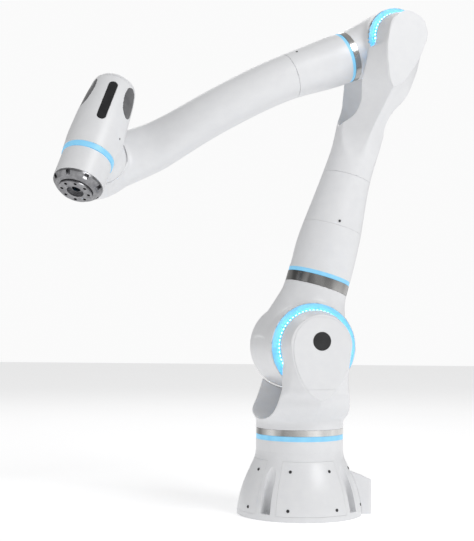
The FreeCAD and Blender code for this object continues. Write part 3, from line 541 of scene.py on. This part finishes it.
def settle(field, vertices, step):
    """Vertices moved onto the zero surface, by less than a cell."""
    points = vertices.copy()
    for _ in range(SETTLE_PASSES):
        slope = slope_of(field, points, SETTLE_SLOPE * step)
        size = np.maximum((slope**2).sum(1), 0.2)
        points -= slope * (field(points) / size)[:, None]
    drift = points - vertices
    length = np.linalg.norm(drift, axis=1)
    return vertices + drift * np.minimum(1, SETTLE_REACH * step / np.maximum(length, 1e-9))[:, None]


def casting(name, field, link, low, high, step, replaced, material):
    """Mesh of a field in a link's frame, standing for CAD nodes."""
    low, high = np.array(low, float) - GRID_MARGIN * step, np.array(high, float) + GRID_MARGIN * step
    vertices, quads = surface_net(sample_field(field, low, high, step), low, step)
    vertices = settle(field, vertices, step)
    normals = slope_of(field, vertices, NORMAL_SLOPE * step)
    mesh = bpy.data.meshes.new(name)
    mesh.from_pydata(vertices.tolist(), [], quads.tolist())
    matrix = LINKS[link]
    mesh.transform(matrix)
    mesh.polygons.foreach_set("use_smooth", np.ones(len(quads), bool))
    normals = normals @ np.array(matrix.to_3x3()).T
    normals /= np.maximum(np.linalg.norm(normals, axis=1), 1e-12)[:, None]
    mesh.normals_split_custom_set_from_vertices(normals.tolist())
    mesh.materials.append(material)
    piece = bpy.data.objects.new(name, mesh)
    bpy.context.scene.collection.objects.link(piece)
    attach(piece, link)
    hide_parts(*replaced)
    return piece


# ---------------------------------------------------------------------------------------- materials
BUMP_SCALE = 900.0
BUMP_DISTANCE = 0.0002
DRIFT_DETAIL = 3.0
DRIFT_RAMP = (0.3, 0.7)     # noise values at the darkest and the lightest colour


def procedural(name, dark, light, rough, metallic=0.0, scale=60.0, bump=0.0, stretch=(1, 1, 1)):
    """Principled material whose colour and roughness drift between two values over the surface."""
    material = bpy.data.materials.new(name)
    material.use_nodes = True
    nodes, links = material.node_tree.nodes, material.node_tree.links
    shader = nodes["Principled BSDF"]
    place = nodes.new("ShaderNodeTexCoord")
    mapping = nodes.new("ShaderNodeMapping")
    mapping.inputs["Scale"].default_value = stretch
    links.new(place.outputs["Object"], mapping.inputs["Vector"])
    drift = nodes.new("ShaderNodeTexNoise")
    drift.inputs["Scale"].default_value = scale
    drift.inputs["Detail"].default_value = DRIFT_DETAIL
    links.new(mapping.outputs["Vector"], drift.inputs["Vector"])
    colours = nodes.new("ShaderNodeValToRGB")
    colours.color_ramp.elements[0].position = DRIFT_RAMP[0]
    colours.color_ramp.elements[0].color = (*dark, 1)
    colours.color_ramp.elements[1].position = DRIFT_RAMP[1]
    colours.color_ramp.elements[1].color = (*light, 1)
    links.new(drift.outputs["Fac"], colours.inputs["Fac"])
    links.new(colours.outputs["Color"], shader.inputs["Base Color"])
    spread = nodes.new("ShaderNodeMapRange")
    spread.inputs["To Min"].default_value = rough[0]
    spread.inputs["To Max"].default_value = rough[1]
    links.new(drift.outputs["Fac"], spread.inputs["Value"])
    links.new(spread.outputs["Result"], shader.inputs["Roughness"])
    shader.inputs["Metallic"].default_value = metallic
    if bump:
        grain = nodes.new("ShaderNodeTexNoise")
        grain.inputs["Scale"].default_value = BUMP_SCALE
        links.new(mapping.outputs["Vector"], grain.inputs["Vector"])
        raised = nodes.new("ShaderNodeBump")
        raised.inputs["Strength"].default_value = bump
        raised.inputs["Distance"].default_value = BUMP_DISTANCE
        links.new(grain.outputs["Fac"], raised.inputs["Height"])
        links.new(raised.outputs["Normal"], shader.inputs["Normal"])
    return material


def glowing(material, colour, strength):
    shader = material.node_tree.nodes["Principled BSDF"]
    shader.inputs["Emission Color"].default_value = (*colour, 1)
    shader.inputs["Emission Strength"].default_value = strength
    return material


# Darkest and lightest colour, range of roughness, and what else a material's recipe takes
RECIPES = {
    "white_paint": ((0.765, 0.77, 0.785), (0.79, 0.795, 0.807), (0.34, 0.42), {"bump": 0.12}),
    "white_plastic": ((0.78, 0.785, 0.80), (0.805, 0.81, 0.82), (0.28, 0.36), {"bump": 0.05}),
    # In polished_metal the streaks of near black among bright metal, drawn out along Z, are painted
    # reflections
    "polished_metal": ((0.10, 0.10, 0.10), (0.86, 0.85, 0.83), (0.14, 0.24),
                       {"metallic": 1.0, "scale": 13, "stretch": (1.0, 1.0, 0.2)}),
    "blue_light": ((0.20, 0.42, 0.58), (0.26, 0.50, 0.66), (0.35, 0.45), {}),
    "led": ((0.45, 0.85, 0.95), (0.55, 0.92, 1.0), (0.2, 0.3), {}),
    "screw_steel": ((0.03, 0.03, 0.03), (0.08, 0.08, 0.085), (0.35, 0.5), {"metallic": 0.6, "scale": 300}),
    "black_plastic": ((0.012, 0.012, 0.013), (0.022, 0.022, 0.024), (0.35, 0.5), {"bump": 0.2}),
    "dark_glass": ((0.010, 0.010, 0.012), (0.018, 0.018, 0.02), (0.05, 0.09), {}),
    "grey_glass": ((0.10, 0.10, 0.105), (0.15, 0.15, 0.155), (0.08, 0.14), {}),
    "machined_aluminium": ((0.20, 0.20, 0.21), (0.34, 0.34, 0.35), (0.26, 0.36),
                           {"metallic": 1.0, "scale": 120}),
    "drive_aluminium": ((0.45, 0.45, 0.46), (0.55, 0.55, 0.56), (0.35, 0.5), {"metallic": 1.0}),
    "bearing_steel": ((0.42, 0.42, 0.43), (0.52, 0.52, 0.53), (0.2, 0.3), {"metallic": 1.0}),
}
GLOWS = {"blue_light": ((0.10, 0.40, 0.64), 0.62), "led": ((0.14, 0.52, 1.0), 13.0)}        # colour, strength


def materials():
    made = {name: procedural(name, dark, light, rough, **extra)
            for name, (dark, light, rough, extra) in RECIPES.items()}
    for name, glow in GLOWS.items():
        glowing(made[name], *glow)
    return made


SEEN = materials()


def dress_cad_nodes():
    """Every CAD node gets the procedural material of its record slot."""
    for node in frame["nodes"].values():
        for slot in node.material_slots:
            slot.material = SEEN[slot.material.name.split(".")[0]]


# -------------------------------------------------------------------------------- studio and camera
FLOOR_HALF = 9.0
FLOOR_GLOW = 0.46
WORLD_AS_LIGHT = 0.40
WORLD_AS_SEEN = 0.96


def add_floor():
    mesh = bpy.data.meshes.new("floor")
    half = FLOOR_HALF
    corners = [(-half, -half, 0), (half, -half, 0), (half, half, 0), (-half, half, 0)]
    mesh.from_pydata(corners, [], [(0, 1, 2, 3)])
    paper = procedural("floor_paper", (0.80, 0.80, 0.805), (0.815, 0.815, 0.82), (0.75, 0.85), scale=3)
    mesh.materials.append(glowing(paper, (1.0, 1.0, 1.0), FLOOR_GLOW))
    floor = bpy.data.objects.new("floor", mesh)
    bpy.context.scene.collection.objects.link(floor)


def add_area_light(name, location, target, size, power):
    data = bpy.data.lights.new(name, "AREA")
    data.shape = "RECTANGLE"
    data.size, data.size_y = size
    data.energy = power
    light = bpy.data.objects.new(name, data)
    light.location = location
    light.rotation_euler = (Vector(target) - Vector(location)).to_track_quat("-Z", "Y").to_euler()
    bpy.context.scene.collection.objects.link(light)


def add_world():
    """Pale surroundings: dim as a light, near white where they are seen behind the object."""
    world = bpy.data.worlds.new("studio")
    bpy.context.scene.world = world
    world.use_nodes = True
    nodes, links = world.node_tree.nodes, world.node_tree.links
    background = nodes["Background"]
    background.inputs["Color"].default_value = (1.0, 1.0, 1.0, 1)
    path = nodes.new("ShaderNodeLightPath")
    level = nodes.new("ShaderNodeMapRange")
    level.inputs["To Min"].default_value = WORLD_AS_LIGHT
    level.inputs["To Max"].default_value = WORLD_AS_SEEN
    links.new(path.outputs["Is Camera Ray"], level.inputs["Value"])
    links.new(level.outputs["Result"], background.inputs["Strength"])


CAMERA_PLACE = (0, -2.2294, 0.3594)
CAMERA_LENS = 75.2
CAMERA_SENSOR = 36.0
CAMERA_HEADING = math.radians(3.2)
CAMERA_LIFT = math.radians(2.9)
CAMERA_ROLL = math.radians(0.4)


def add_camera():
    """Camera of the photograph's view: low in front of the arm, turned slightly left and up."""
    data = bpy.data.cameras.new("camera")
    data.lens = CAMERA_LENS
    data.sensor_width = CAMERA_SENSOR
    heading, lift, roll = CAMERA_HEADING, CAMERA_LIFT, CAMERA_ROLL
    level = math.cos(lift)
    forward = Vector((-math.sin(heading) * level, math.cos(heading) * level, math.sin(lift)))
    right = forward.cross(Vector((0, 0, 1))).normalized()
    up = right.cross(forward)
    rolled_right = right * math.cos(roll) + up * math.sin(roll)
    rolled_up = rolled_right.cross(forward)
    matrix = Matrix((rolled_right, rolled_up, -forward)).transposed().to_4x4()
    matrix.translation = Vector(CAMERA_PLACE)
    camera = bpy.data.objects.new("camera", data)
    camera.matrix_world = matrix
    bpy.context.scene.collection.objects.link(camera)
    bpy.context.scene.camera = camera


# ------------------------------------------------------------------------------------------- pieces
# Name, field, link, box in the link's frame in mm, cell size in mm, CAD nodes it stands for
CASTINGS = [
    ("yoke_shell", yoke_field, "shoulder_yoke", (-100, -100, -160), (100, 142, 75), 2.0, ["yoke_casting"]),
    ("shoulder_shell", shoulder_field, "shoulder", (-86, -90, -86), (86, 93, 120), 2.0, ["shoulder_housing"]),
    ("elbow_yoke_shell", elbow_yoke_field, "upper_arm", (-62, -56, -288), (62, 114, 54), 1.8,
     ["elbow_yoke_casting"]),
    ("elbow_shell", elbow_field, "elbow", (-63, -62, -63), (63, 64, 84), 1.6, ["elbow_housing"]),
    ("head_shell", head_field, "wrist_head", (-63, -58, -63), (63, 52, 131), 1.3, ["head_casing"]),
    ("head_cap_shell", cap_field, "wrist_head", (-46, -46, 127), (46, 46, 143), 1.3, ["head_cap"]),
    ("forearm_shell", forearm_field, "forearm", (-64, -48, -417), (64, 120, 64), 1.8, ["forearm_casting"]),
]


def add_castings():
    for name, field, link, low, high, step, replaced in CASTINGS:
        casting(name, field, link, low, high, step, replaced, SEEN["white_paint"])


PANEL_ANGLES = (13, 103, 193, 283)      # from -Y towards +X, as in the CAD model
SCREW_SPREAD = 23                       # screws to each side of a panel's middle, in degrees
SCREW_HEIGHTS = (90.0, 21.0)
SCREW_PROFILE = ((3.0, -1.0), (3.0, 0.5), (2.6, 0.95), (1.7, 1.1), (1.6, 0.1), (0.0, 0.1))  # radius, height
SCREW_SIDES = 18
RAY_START = 0.3                         # outside the skirt, in metres


def screw_head(centre, outwards, vertices, faces):
    """Domed head with a round socket, added to a mesh being built."""
    across = outwards.cross(Vector((0, 0, 1))).normalized()
    up = across.cross(outwards)
    first = len(vertices)
    for radius, height in SCREW_PROFILE:
        for i in range(SCREW_SIDES):
            t = 2 * math.pi * i / SCREW_SIDES
            spoke = across * math.cos(t) + up * math.sin(t)
            vertices.append(centre + (spoke * radius + outwards * height) * MM)
    for row in range(len(SCREW_PROFILE) - 1):
        for i in range(SCREW_SIDES):
            a = first + row * SCREW_SIDES + i
            b = first + row * SCREW_SIDES + (i + 1) % SCREW_SIDES
            faces.append((a, b, b + SCREW_SIDES, a + SCREW_SIDES))


def add_panel_screws():
    """Sixteen screw heads, seated on the skirt panels' surface, which the CAD screws lie under."""
    skirt = frame["nodes"]["skirt_panels"].data
    surface = BVHTree.FromPolygons([v.co for v in skirt.vertices], [f.vertices for f in skirt.polygons])
    vertices, faces = [], []
    for panel in PANEL_ANGLES:
        for side in (-SCREW_SPREAD, SCREW_SPREAD):
            t = math.radians(panel + side)
            outwards = Vector((math.sin(t), -math.cos(t), 0))
            for height in SCREW_HEIGHTS:
                start = outwards * RAY_START + Vector((0, 0, height * MM))
                point, normal, _, _ = surface.ray_cast(start, -outwards)
                if point:
                    screw_head(point, normal, vertices, faces)
    mesh = bpy.data.meshes.new("panel_screw_heads")
    mesh.from_pydata(vertices, [], faces)
    mesh.materials.append(SEEN["screw_steel"])
    piece = bpy.data.objects.new("panel_screw_heads", mesh)
    bpy.context.scene.collection.objects.link(piece)
    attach(piece, "pedestal")
    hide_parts("panel_screws")


dress_cad_nodes()
add_castings()
add_panel_screws()
add_floor()
add_area_light("key", location=(2.2, -1.9, 2.9), target=(0, 0, 0.5), size=(1.6, 1.6), power=62)
add_area_light("fill", location=(-2.8, -2.0, 1.4), target=(0, 0, 0.5), size=(2.5, 2.5), power=10)
add_area_light("rim", location=(-0.6, 2.6, 2.6), target=(0, 0, 0.6), size=(2.5, 1.2), power=16)
add_world()
add_camera()
bpy.context.scene.view_settings.view_transform = "Standard"
